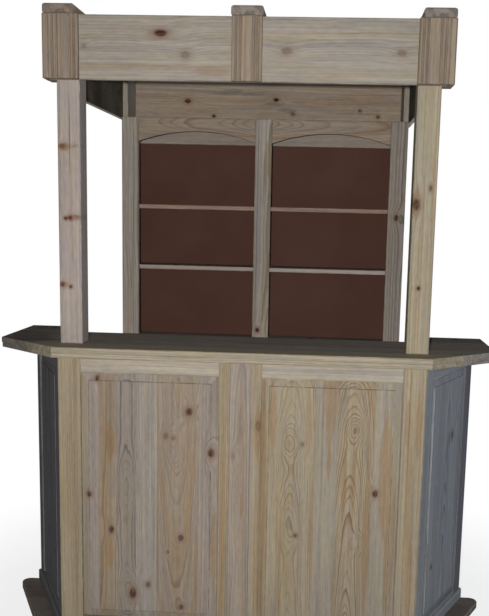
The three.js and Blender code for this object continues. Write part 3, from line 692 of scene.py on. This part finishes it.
def pine(node, along, across, colours, pith=(0.0, 0.05), taper=0.02, pitch=0.0065, wander=0.012, seed=0.0,
         knots=(), streaks=(), stains=(), contrast=0.6, warmth=0.5, staves=(), dusty=0.4, shaded_face=None,
         field_inset=None, flute_depth=None):
    """Gives a board its pine.

    Knots are as knot_at gives them, resin streaks and stains are (place, half width, half length, share),
    staves are as stave_values reads them, a shaded face is its direction and gets painted shade, and the
    field inset is the way from a panel's outline to the step round its raised field. A fluted strip has a
    flute depth.
    """
    material = bpy.data.materials.new(f"pine_{node}")
    tree = bare_nodes(material)
    axes, centre, half = board_space(node, along, across)
    spot = wire(tree, "ShaderNodeTexCoord").outputs["Object"]
    point = wire(tree, "ShaderNodeMapping", {
        "Vector": spot, "Location": -centre, "Rotation": axes.to_euler("XYZ"),
    }).outputs[0]

    pale, late, warm, knot_colour = colours
    growth = {"Pith Across": pith[0], "Pith Depth": pith[1], "Taper": taper, "Seed": seed}
    if staves:
        growth, contrast, (pale, late, warm) = stave_values(tree, point, -half.x, seed, staves)

    chain = {"Core": 0.0, "Heart": 0.0, "Halo": 0.0, "Push": 0.0}
    for place, radius, dark, stretch, push_rings in knots:
        made = use_group(tree, knot, {
            "Point": point, "Centre": axes @ Vector(place) - centre, "Radius": radius, "Dark": dark,
            "Shape": (1.0, 0.0, ALONG_KNOT / stretch), "Push Rings": push_rings, **chain,
        })
        chain = {key: made[key] for key in chain}
    push = chain.pop("Push")
    spindles = {}
    for kind, marks in (("Resin", streaks), ("Stain", stains)):
        spindles[kind] = 0.0
        for place, half_width, half_length, share in marks:
            spindles[kind] = use_group(tree, resin_streak, {
                "Point": point, "Centre": axes @ Vector(place) - centre, "Half Width": half_width,
                "Half Length": half_length, "Share": share, "Resin": spindles[kind],
            })["Resin"]
    grain = use_group(tree, growth_rings, {
        "Point": point, "Ring Pitch": pitch, "Wander": wander, "Push": push, **growth,
    })
    look = use_group(tree, pine_colour, {
        **{key: grain[key] for key in ("Latewood", "Fibre", "Streak", "Tint")}, **chain, **spindles,
        "Pale": pale, "Late": late, "Warm": warm, "Knot": knot_colour, "Contrast": contrast, "Warmth": warmth,
    })

    end_share = use_group(tree, sawn_end, {"Point": point, "Along": along})["End"]
    colour = blend(tree, end_share, look["Color"], END_BROWN)
    wear = use_group(tree, worn_arris, {"Point": point, "Half Size": half})["Wear"]
    colour = blend(tree, times(tree, wear, WEAR_SHARE), colour, WEAR_AND_SHADE_BROWN)
    facing_mask = use_group(tree, facing_dust_and_shade, {"Point": point, "Facing": Z, "Amount": dusty})["Dust"]
    colour = blend(tree, facing_mask, colour, DUST_GREY)
    # Dirt and painted shade in the step round the raised field.
    if field_inset:
        field = half - Vector((field_inset, 0.0, field_inset))
        line = use_group(tree, field_step_dirt_and_shade, {"Point": point, "Half Field": field})["Line"]
        colour = blend(tree, line, colour, WEAR_AND_SHADE_BROWN)
    # Dirt and painted shade in the flutes.
    if flute_depth:
        strip = {"Point": point, "Half Thickness": half.y, "Depth": flute_depth}
        dirt_and_shade = use_group(tree, flute_dirt_and_shade, strip)["Dirt"]
        colour = blend(tree, times(tree, dirt_and_shade, FLUTE_SHARE), colour, WEAR_AND_SHADE_BROWN)
    # Painted shade: the face that points the given way is darkened brown.
    if shaded_face:
        shaded_face_inputs = {"Point": point, "Facing": shaded_face, "Amount": INNER_SHADE_SHARE}
        inner_shade = use_group(tree, facing_dust_and_shade, shaded_face_inputs)["Dust"]
        colour = blend(tree, inner_shade, colour, INNER_SHADE_BROWN)
    surface_of(node, material, colour, look["Roughness"], look["Height"], PLANED_RELIEF, shine=0.0)


print("pine is ready to use")

# %% [markdown]
# ## Colours of the boards
#
# Bare pine is never one colour. The canopy boards are grey beige or brown, the frame of the counter is
# yellower, some staves are pinkish and some have gone grey. Each set below holds the pale wood, the late
# wood, the warm streak and the knot.

# %% Colour sets
CREAM = (srgb(163, 156, 145), srgb(136, 122, 104), srgb(160, 145, 120), srgb(96, 66, 52))
GREY_BEIGE = (srgb(157, 150, 140), srgb(122, 111, 97), srgb(156, 143, 121), srgb(88, 46, 36))
YELLOW = (srgb(153, 143, 124), srgb(122, 103, 79), srgb(148, 127, 96), srgb(86, 64, 48))
STRAW = (srgb(160, 151, 132), srgb(129, 112, 90), srgb(155, 137, 107), srgb(86, 62, 47))
PINK = (srgb(150, 140, 131), srgb(116, 102, 92), srgb(144, 126, 108), srgb(96, 68, 57))
BLUSH = (srgb(165, 155, 148), srgb(136, 119, 108), srgb(158, 138, 121), srgb(104, 54, 44))
BROWN = (srgb(147, 134, 120), srgb(112, 95, 81), srgb(141, 120, 97), srgb(80, 56, 48))
SAGE = (srgb(150, 142, 129), srgb(124, 114, 98), srgb(147, 136, 113), srgb(80, 62, 52))
TAN = (srgb(144, 131, 116), srgb(106, 90, 74), srgb(142, 118, 88), srgb(80, 60, 50))
MAUVE = (srgb(140, 131, 122), srgb(100, 92, 86), srgb(130, 119, 106), srgb(76, 62, 56))
ROSE = (srgb(152, 132, 121), srgb(118, 98, 87), srgb(146, 122, 104), srgb(84, 58, 50))
GREYED = (srgb(150, 143, 134), srgb(108, 99, 93), srgb(138, 127, 113), srgb(74, 62, 56))
ORANGE = (srgb(150, 139, 120), srgb(119, 95, 70), srgb(146, 118, 84), srgb(84, 55, 42))
# The dusky set is painted shade: the left wing and the rear stiles of both wings take it, so that they look
# as they do in shade.
PAINTED_SHADE_GREY = (srgb(112, 111, 115), srgb(82, 81, 84), srgb(100, 97, 97), srgb(54, 49, 48))
SILVERED = (srgb(147, 148, 148), srgb(104, 104, 106), srgb(128, 126, 124), srgb(66, 60, 58))
WING_COLOURS = {"left": PAINTED_SHADE_GREY, "right": SILVERED}
print("fifteen colour sets")

# %% [markdown]
# ## The counter's front
#
# Each front panel is glued up from staves. The left one has brown, grey and pinkish staves with many
# dark knots, the right one has bold cathedrals in two staves and plain pale wood between them. The outer
# stiles are yellow with straight grain: they were cut near the edge of the log, with the pith far away.

# %% Front panels
front = on_face("front_panel_left")
FIELD_INSET = 0.0367
pine("front_panel_left", Z, X, PINK, pitch=0.0052, wander=0.008, seed=0.11, field_inset=FIELD_INSET,
     staves=[
         (26, -90, 40, 0, 0.5, YELLOW), (44, 120, 30, 0, 0.4, PINK), (63, -44, 50, -30, 0.7, TAN),
         (71, 2, 62, 0, 0.85, MAUVE), (75, 140, 40, 0, 0.3, GREYED), (138, 4, 66, -70, 0.6, BROWN),
         (81, 44, 56, 20, 0.7, PINK)],
     knots=knots_on(
         front, (-179, 859, 15, 0.8, 1.0, -2.2), (-100, 712, 13, 0.9, 1.2, -2.4), (-537, 545, 11, 0.8),
         (-458, 416, 11, 0.8, 1.2), (-379, 176, 15, 0.85, 1.4), (-324, 212, 10, 0.7, 1.1),
         (-206, 395, 12, 0.85), (-203, 132, 11, 0.65), (-505, 968, 9, 0.9, 1.2), (-252, 340, 6, 0.5),
         (-262, 768, 13, 0.4), (-235, 762, 9, 0.45), (-402, 580, 13, 0.0, 2.4, -3.8),
         (-398, 195, 11, 0.0, 1.8, -3.0), (-235, 715, 12, 0.0, 1.6, -2.5)),
     streaks=marks_on(
         front, (-460, 737, 17, 80, 0.8), (-462, 330, 15, 70, 0.6), (-185, 600, 16, 300, 0.35),
         (-485, 620, 6, 400, 0.6), (-150, 250, 10, 200, 0.45), (-290, 480, 5, 300, 0.35),
         (-86, 350, 16, 160, 0.5)))
pine("front_panel_right", Z, X, YELLOW, pitch=0.0050, wander=0.009, seed=0.31, field_inset=FIELD_INSET,
     staves=[
         (38, 110, 30, 0, 0.6, ORANGE), (160, 0, 66, 45, 0.9, YELLOW), (80, -150, 50, 0, 0.35, SAGE),
         (125, -14, 56, 70, 0.95, ORANGE), (95, 120, 40, 0, 0.45, SAGE)],
     knots=knots_on(
         front, (482, 588, 11, 0.9, 1.2), (205, 422, 8, 0.7), (222, 757, 9, 0.4),
         (432, 405, 10, 0.0, 1.0, -3.0), (410, 817, 13, 0.2, 1.3), (172, 764, 15, 0.0, 1.2, -4.5),
         (178, 470, 16, 0.0, 2.0, -4.0), (410, 817, 11, 0.0, 1.2, -2.6)),
     streaks=marks_on(
         front, (318, 985, 30, 240, 0.6), (513, 655, 24, 260, 0.6), (316, 700, 7, 70, 0.7),
         (405, 640, 8, 160, 0.6), (84, 560, 13, 500, 0.6), (262, 420, 7, 350, 0.5),
         (455, 430, 14, 340, 0.5), (150, 330, 6, 250, 0.4), (540, 400, 22, 300, 0.5),
         (370, 620, 14, 130, 0.5), (116, 850, 16, 120, 0.5), (242, 850, 12, 140, 0.45)))
print("front panels glued up")

# %% Front stiles and rails
SIDES = ((0, "left"), (1, "right"))
pine("front_stile_left", Z, X, YELLOW, pith=(-0.10, 0.03), seed=1.3, contrast=0.45, warmth=0.55,
     streaks=marks_on(front, (-583, 600, 7, 600, 0.5), (-630, 700, 5, 500, 0.25)))
pine("front_stile_right", Z, X, YELLOW, pith=(0.11, 0.04), seed=2.6, contrast=0.45, warmth=0.6,
     streaks=marks_on(
         front, (585, 840, 9, 100, 0.6), (612, 250, 11, 220, 0.6), (600, 560, 5, 450, 0.4),
         (622, 830, 12, 140, 0.5)))
pine("front_stile_centre", Z, X, YELLOW, pitch=0.0070, seed=0.52, warmth=0.6,
     staves=[(40, -90, 30, 0, 0.5, ORANGE), (76, 0, 45, 10, 0.55, PINK), (34, 80, 40, 0, 0.4, YELLOW)],
     knots=knots_on(front, (66, 819, 13, 0.45, 1.6), (-22, 705, 9, 0.3, 1.5)),
     streaks=marks_on(front, (64, 790, 14, 110, 0.6), (10, 520, 5, 50, 0.7), (62, 350, 10, 350, 0.45)))
for number, side in SIDES:
    pine(f"front_top_rail_{side}", X, Z, CREAM, pith=(0.12, 0.03), seed=3.1 + number, contrast=0.35,
         warmth=0.3)
    pine(f"front_bottom_rail_{side}", X, Z, YELLOW, pith=(-0.10, 0.03), seed=5.4 + number, contrast=0.5)
print("front frame done")

# %% [markdown]
# ## The splayed wings
#
# The wings have the same frame and panel as the front. Their rails run along the wing, so the pattern
# is turned with it: the direction is read from the frame itself, from the front stile to the rear one.
# The left wing and the rear stiles of both wings are painted dark grey as shade.


# %% Wing boards
def middle(node):
    """The centre of a board's box."""
    low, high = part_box(node)
    return (low + high) / 2


for number, side in SIDES:
    run = middle(f"wing_{side}_rear_stile") - middle(f"wing_{side}_front_stile")
    run = Vector((run.x, run.y, 0)).normalized()
    panel = f"wing_{side}_panel"
    heart = middle(panel)
    # The left wing's dusky set is painted shade; the right wing is silvered.
    wood = WING_COLOURS[side]
    pine(panel, Z, run, wood, seed=0.23 + 0.4 * number, warmth=0.4,
         staves=[
             (130, -60, 50, 20, 0.9, wood), (115, 10, 48, 50, 1.0, wood), (140, 90, 45, 0, 0.8, wood)],
         knots=[
             knot_at((heart + run * 0.06 + Z * 0.21).to_tuple(), 13, 0.55, 1.2),
             knot_at((heart - run * 0.10 - Z * 0.26).to_tuple(), 11, 0.5)])
    for step, part in enumerate(("front_stile", "rear_stile")):
        # Each rear stile takes the dusky set, painted shade.
        pine(f"wing_{side}_{part}", Z, run, (wood, PAINTED_SHADE_GREY)[step], pith=(0.10, 0.03),
             seed=7.7 + step + number)
    for step, part in enumerate(("top_rail", "bottom_rail")):
        pine(f"wing_{side}_{part}", run, Z, wood, pith=(0.09, 0.03), seed=9.2 + step + number,
             contrast=0.5)
    pine(f"skirting_{side}", run, Z, wood, pith=(0.07, 0.02), seed=4.4 + number, contrast=0.5)
print("wings done")

# %% [markdown]
# ## The counter's top, base and inner shelf
#
# The top is glued up from broad staves that run along the counter. Its front edge shows the same rings
# as its upper face, because the pattern fills the whole board and is only cut by its faces. Its upper face
# has gone grey with use, and the base board, which boots rest on, with dust.

# %% Top, base and shelf boards
pine("counter_top_front", X, Y, CREAM, seed=0.21, warmth=0.6, dusty=0.03,
     staves=[
         (100, -90, 50, 10, 0.6, STRAW), (105, 20, 60, 20, 0.9, GREYED), (95, -15, 45, -20, 0.9, PINK),
         (100, 60, 50, 10, 0.8, GREYED)],
     # This grey patch makes the top darker towards its left end.
     stains=[((-0.88, -0.30, 1.08), 0.30, 0.18, 0.45)])
for number, side in SIDES:
    sign = 2 * number - 1
    pine(f"counter_top_arm_{side}", Y, X, GREYED, pith=(0.09, 0.04), seed=6.1 + number, dusty=0.3,
         knots=[knot_at((0.80 * sign, 0.01, 1.08), 10, 0.9, 1.2)])
pine("counter_base", X, Y, BROWN, seed=0.13, dusty=0.85,
     staves=[
         (130, 15, 60, 20, 0.5, BROWN), (130, 80, 50, 0, 0.4, GREYED), (130, -20, 50, 20, 0.5, BROWN),
         (130, 60, 60, 0, 0.4, PINK)])
pine("skirting_front", X, Z, YELLOW, pith=(0.08, 0.02), seed=2.2, contrast=0.45)
pine("counter_shelf", X, Y, GREY_BEIGE, seed=0.47, dusty=0.35,
     staves=[
         (100, -20, 50, 20, 0.5, GREY_BEIGE), (110, 60, 60, 0, 0.4, CREAM), (100, 10, 50, 20, 0.5, PINK),
         (133, 80, 50, 0, 0.4, GREY_BEIGE)],
     knots=[knot_at((-0.42, -0.10, 0.56), 12, 0.9, 1.2), knot_at((0.31, -0.22, 0.56), 10, 0.8, 1.2)])
print("counter done")

# %% [markdown]
# ## Posts and canopy
#
# The left post is pinkish with dark red knots, the right one is yellow like straw. The fascia is a wide
# grey beige board with a large brown knot, and the strips over it are browner. The bearers on top show
# their sawn ends to the front, where the rings become arcs.

# %% Posts
left_post = on_face("post_left")
right_post = on_face("post_right")
pine("post_left", Z, X, BLUSH, pith=(0.11, 0.06), wander=0.010, seed=3.9, contrast=0.4, warmth=0.35,
     knots=knots_on(
         left_post, (-636, 1766, 16, 0.55, 0.55), (-590, 1767, 13, 0.25, 0.40), (-626, 1520, 7, 1.0, 0.8),
         (-611, 1522, 9, 1.0, 0.8), (-590, 1526, 16, 0.35, 0.45), (-642, 1290, 12, 0.65, 0.80),
         (-612, 1282, 6, 1.0, 0.9)),
     streaks=marks_on(
         left_post, (-630, 1764, 26, 14, 0.7), (-600, 1522, 30, 12, 0.6), (-636, 1290, 20, 12, 0.6)),
     stains=marks_on(left_post, (-610, 1810, 1.6, 170, 0.75)))
pine("post_right", Z, X, STRAW, pith=(-0.12, 0.05), wander=0.010, seed=8.2, contrast=0.55, warmth=0.75,
     knots=knots_on(
         right_post, (584, 1595, 15, 0.85, 1.3), (630, 1650, 7, 0.6, 1.6), (605, 1310, 7, 0.9)),
     streaks=marks_on(
         right_post, (586, 1600, 16, 60, 0.7), (640, 1500, 5, 500, 0.4), (610, 1400, 4, 400, 0.4)))
print("posts done")

# %% Canopy boards
fascia = on_face("canopy_fascia")
rear_fascia = on_face("canopy_rear_fascia")
pine("canopy_fascia", X, Z, GREY_BEIGE, pith=(0.15, 0.05), pitch=0.0085, seed=4.6, contrast=0.4,
     warmth=0.4,
     knots=knots_on(
         fascia, (-293, 2140, 13, 1.0, 1.6, -2.2), (-208, 2070, 16, 0.35), (133, 2088, 15, 0.4, 1.3),
         (513, 2087, 14, 0.35, 1.2), (-552, 2095, 10, 0.3)),
     streaks=marks_on(
         fascia, (-120, 2018, 16, 75, 0.45), (60, 2125, 8, 250, 0.25), (-380, 2030, 14, 300, 0.25),
         (-450, 2150, 8, 200, 0.25), (330, 2010, 12, 280, 0.2)))
pine("canopy_rear_fascia", X, Z, BROWN, pith=(-0.10, 0.06), pitch=0.0080, wander=0.016, seed=1.9,
     contrast=0.5, warmth=0.4,
     knots=knots_on(
         rear_fascia, (-352, 2038, 11, 1.0, 1.3), (-236, 1975, 8, 0.9), (38, 2049, 10, 1.0, 1.2),
         (114, 1991, 10, 0.6, 1.2), (408, 2009, 8, 0.9), (488, 1984, 8, 0.9)),
     streaks=marks_on(
         rear_fascia, (-290, 2000, 12, 100, 0.4), (-60, 2035, 10, 120, 0.35), (210, 2030, 10, 100, 0.3),
         (420, 2070, 14, 120, 0.3)),
     stains=marks_on(
         rear_fascia, (-150, 2085, 10, 50, 0.35), (-185, 2070, 6, 70, 0.30), (-70, 2070, 8, 60, 0.30),
         (30, 2030, 7, 60, 0.35), (90, 2005, 10, 50, 0.35), (135, 2040, 6, 40, 0.30),
         (300, 2060, 8, 100, 0.22), (430, 1996, 6, 120, 0.25)))
FLUTE_DEPTH = 0.004
for number, side in enumerate(("left", "centre", "right")):
    pine(f"pilaster_{side}", Z, X, BROWN, pith=(0.11 - 0.02 * number, 0.04), seed=2.3 + number,
         contrast=0.4, flute_depth=FLUTE_DEPTH)
    over = middle(f"roof_bearer_{side}")
    pine(f"roof_bearer_{side}", Y, X, BROWN if side == "left" else GREYED, pith=(0.03, 0.06), pitch=0.0055,
         seed=5.8 + number, contrast=0.7,
         knots=[
             knot_at((over.x + 0.02, -0.22 + 0.09 * number, over.z), 12, 0.9, 1.3),
             knot_at((over.x - 0.02, 0.27 - 0.06 * number, over.z), 9, 0.8, 1.2)])
for number, side in SIDES:
    pine(f"canopy_return_{side}", Z, Y, BROWN, pith=(0.09, 0.04), seed=7.1 + number,
         flute_depth=FLUTE_DEPTH)
    # Each side board's inward face gets painted shade, the dark under the canopy.
    inwards = X if side == "left" else -X
    pine(f"canopy_side_{side}", Y, Z, GREY_BEIGE, pith=(0.13, 0.05), seed=3.3 + number, contrast=0.5,
         shaded_face=inwards,
         knots=[
             knot_at((0.0, -0.12 + 0.2 * number, 2.12), 13, 0.9, 1.4, -2.0),
             knot_at((0.0, 0.30 - 0.1 * number, 2.04), 10, 0.8, 1.2)])
print("canopy done")

# %% [markdown]
# ## The shelf unit
#
# The face frame is grey beige pine, browner and with bold grain over the arches. The shelves show only
# their edges, and the back is a sheet of brown hardboard.

# %% Shelf unit boards
unit = on_face("unit_stile_left")
pine("unit_stile_left", Z, X, GREY_BEIGE, pith=(-0.05, 0.04), pitch=0.0105, wander=0.02, seed=6.6,
     contrast=1.0,
     streaks=marks_on(unit, (-588, 1250, 4, 500, 0.4)),
     stains=marks_on(unit, (-608, 1550, 5, 450, 0.35), (-560, 1400, 4, 600, 0.3)))
pine("unit_stile_centre", Z, X, GREY_BEIGE, pith=(0.04, 0.04), pitch=0.0105, wander=0.02, seed=2.9,
     contrast=0.9,
     knots=knots_on(unit, (-13, 1047, 10, 1.0)),
     streaks=marks_on(unit, (14, 1760, 10, 120, 0.6), (20, 1300, 5, 300, 0.4)),
     stains=marks_on(unit, (-22, 1480, 4, 500, 0.35), (4, 1700, 4, 140, 0.4)))
pine("unit_stile_right", Z, X, MAUVE, pith=(0.05, 0.04), pitch=0.0105, wander=0.02, seed=9.4, contrast=1.0,
     knots=knots_on(unit, (574, 1548, 11, 1.0, 1.2)))
for number, side in SIDES:
    sign = 2 * number - 1
    pine(f"unit_arch_{side}", X, Z, BROWN, pith=(0.03, 0.05), taper=0.07 * sign, pitch=0.0055,
         wander=0.016, seed=1.1 + 3 * number, contrast=0.7, warmth=0.7)
    pine(f"unit_side_{side}", Z, Y, GREY_BEIGE, pith=(0.02, 0.06), seed=4.9 + number,
         knots=[
             knot_at((0.0, 0.43, 1.66 - 0.2 * number), 13, 0.95, 1.3, -2.0),
             knot_at((0.0, 0.49, 1.12 - 0.1 * number), 10, 0.85, 1.2),
             knot_at((0.0, 0.41, 0.58 + 0.2 * number), 14, 0.9, 1.3, -2.0),
             knot_at((0.0, 0.50, 0.21), 9, 0.8, 1.1)])
    for step, (level, wood) in enumerate((("upper", ROSE), ("lower", BLUSH))):
        pine(f"unit_shelf_{level}_{side}", X, Y, wood, pith=(0.10, 0.05), seed=8.8 + number + 3 * step,
             contrast=0.4, dusty=0.3)
for number, node in enumerate(("unit_top", "unit_worktop", "unit_low_shelf", "unit_bottom")):
    pine(node, X, Y, GREY_BEIGE, pith=(0.02, 0.06), seed=0.7 + number,
         knots=[
             knot_at((-0.31 + 0.08 * number, 0.44, 0.0), 11, 0.9, 1.3),
             knot_at((0.27 - 0.05 * number, 0.48, 0.0), 9, 0.8, 1.2)])
for number, node in enumerate(("unit_plinth", "unit_rear_rail")):
    pine(node, X, Z, PINK, pith=(0.10, 0.05), seed=5.2 + number, contrast=0.5)
pine("unit_divider", Z, Y, GREY_BEIGE, pith=(0.03, 0.06), seed=7.9)
print("shelf unit done")

# %% [markdown]
# ## Hardboard
#
# Hardboard is wood fibre pressed into a thin brown sheet. Its front is smooth with a faint mottle of
# fibres. Its back is paler, scuffed, and carries the print of the wire mesh that it was pressed on. One
# material shows both: the direction of the surface says which side it is.

# %% Hardboard back
MOTTLE_SCALE = (5.0, 5.0, 5.0)
SPECK_SCALE = (420.0, 420.0, 420.0)
SCUFF_SCALE = (9.0, 9.0, 5.0)
MESH_PITCH = 0.0025
PRESSED_RELIEF = (0.6, 0.0003)
SMOOTH_BROWNS = (srgb(83, 57, 48), srgb(88, 61, 52))
SMOOTH_SPECK = srgb(68, 46, 39)
FUZZY_BROWNS = (srgb(87, 63, 52), srgb(97, 72, 60))
FUZZY_SPECK = srgb(66, 46, 38)
sheet = bpy.data.materials.new("hardboard")
tree = bare_nodes(sheet)
spot = wire(tree, "ShaderNodeTexCoord").outputs["Object"]
mottle = stretched(tree, spot, MOTTLE_SCALE, 1.0, 3.0)
specks = stretched(tree, spot, SPECK_SCALE, 2.0)
broad = blend(tree, smooth(tree, mottle, 0.3, 0.7), *SMOOTH_BROWNS)
smooth_side = blend(tree, smooth(tree, specks, 0.55, 0.75, 0.0, 0.45), broad, SMOOTH_SPECK)
scuffs = stretched(tree, spot, SCUFF_SCALE, 4.0, 6.0)
fuzz = blend(tree, smooth(tree, scuffs, 0.30, 0.70), *FUZZY_BROWNS)
rough_side = blend(tree, smooth(tree, specks, 0.5, 0.75, 0.0, 0.5), fuzz, FUZZY_SPECK)
normal = wire(tree, "ShaderNodeNewGeometry").outputs["Normal"]
rough = smooth(tree, split(tree, normal)[1], 0.4, 0.6)
colour = blend(tree, rough, smooth_side, rough_side)
across, _, upwards = split(tree, spot)
wires = [calc(tree, "SINE", times(tree, way, 2 * math.pi / MESH_PITCH)) for way in (across, upwards)]
print_height = times(tree, calc(tree, "MAXIMUM", *wires), rough)
height = add(tree, print_height, times(tree, specks, 0.3))
gloss = smooth(tree, specks, 0.3, 0.7, 0.52, 0.66)
surface_of("unit_back", sheet, colour, gloss, height, PRESSED_RELIEF, shine=0.02)
print("hardboard done")
